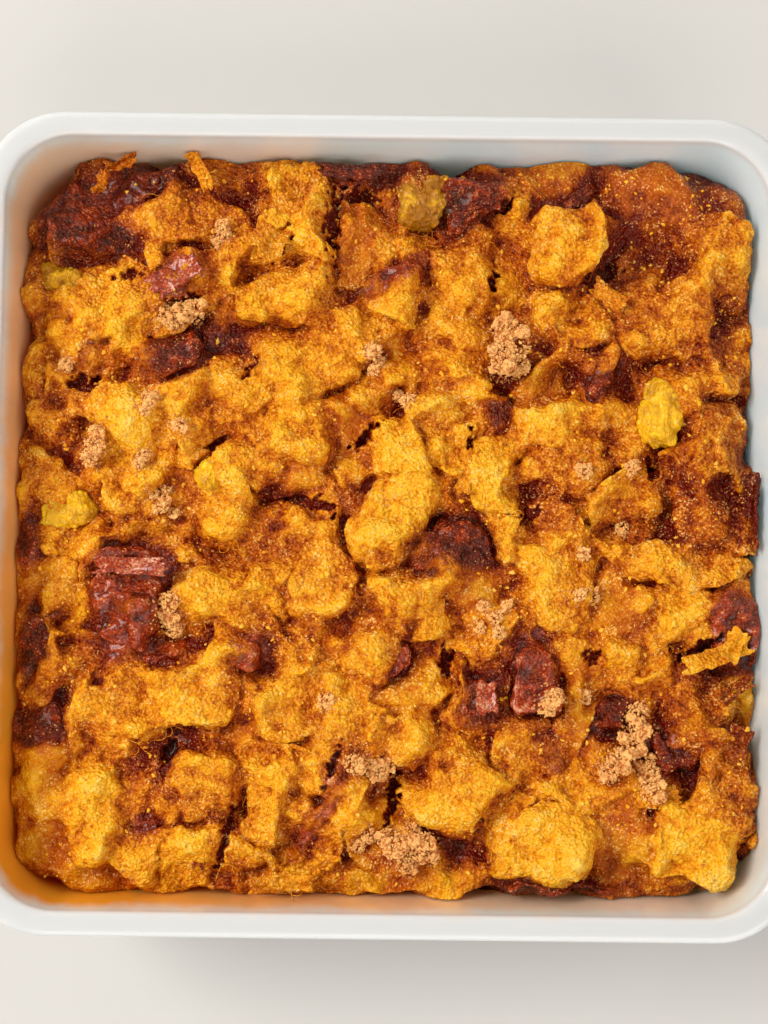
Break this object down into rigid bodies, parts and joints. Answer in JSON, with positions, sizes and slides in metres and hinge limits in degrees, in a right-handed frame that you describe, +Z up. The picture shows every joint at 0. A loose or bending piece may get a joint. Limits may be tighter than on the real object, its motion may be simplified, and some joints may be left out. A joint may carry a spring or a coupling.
{
  "type": "bread pudding",
  "caption": "Square white glass baking dish of golden bread pudding with torn bread, dark crusts, yellow fruit and clumps of brown sugar.",
  "frame": {"origin": "middle of the dish's underside", "axes": "+Z up out of the dish, +Y to its far side and +X to its right side as it is served"},
  "size_m": [0.216, 0.216, 0.052],
  "materials": {
    "milk_glass": "smooth, glossy, opaque white",
    "baked_bread": "moist, grainy crumb with glossy custard and dark crust",
    "soft_fruit": "wet, fibrous",
    "brown_sugar": "dry, crumbly"
  },
  "bodies": {
    "root": {"dish": "milk_glass", "pudding": "baked_bread", "fruit_1": "soft_fruit", "fruit_2": "soft_fruit", "fruit_3": "soft_fruit", "fruit_4": "soft_fruit", "fruit_5": "soft_fruit", "sugar_clump_1": "brown_sugar", "sugar_clump_2": "brown_sugar", "sugar_clump_3": "brown_sugar", "sugar_clump_4": "brown_sugar", "sugar_clump_5": "brown_sugar", "sugar_clump_6": "brown_sugar", "sugar_clump_7": "brown_sugar", "sugar_clump_8": "brown_sugar"}
  },
  "joints": []
}
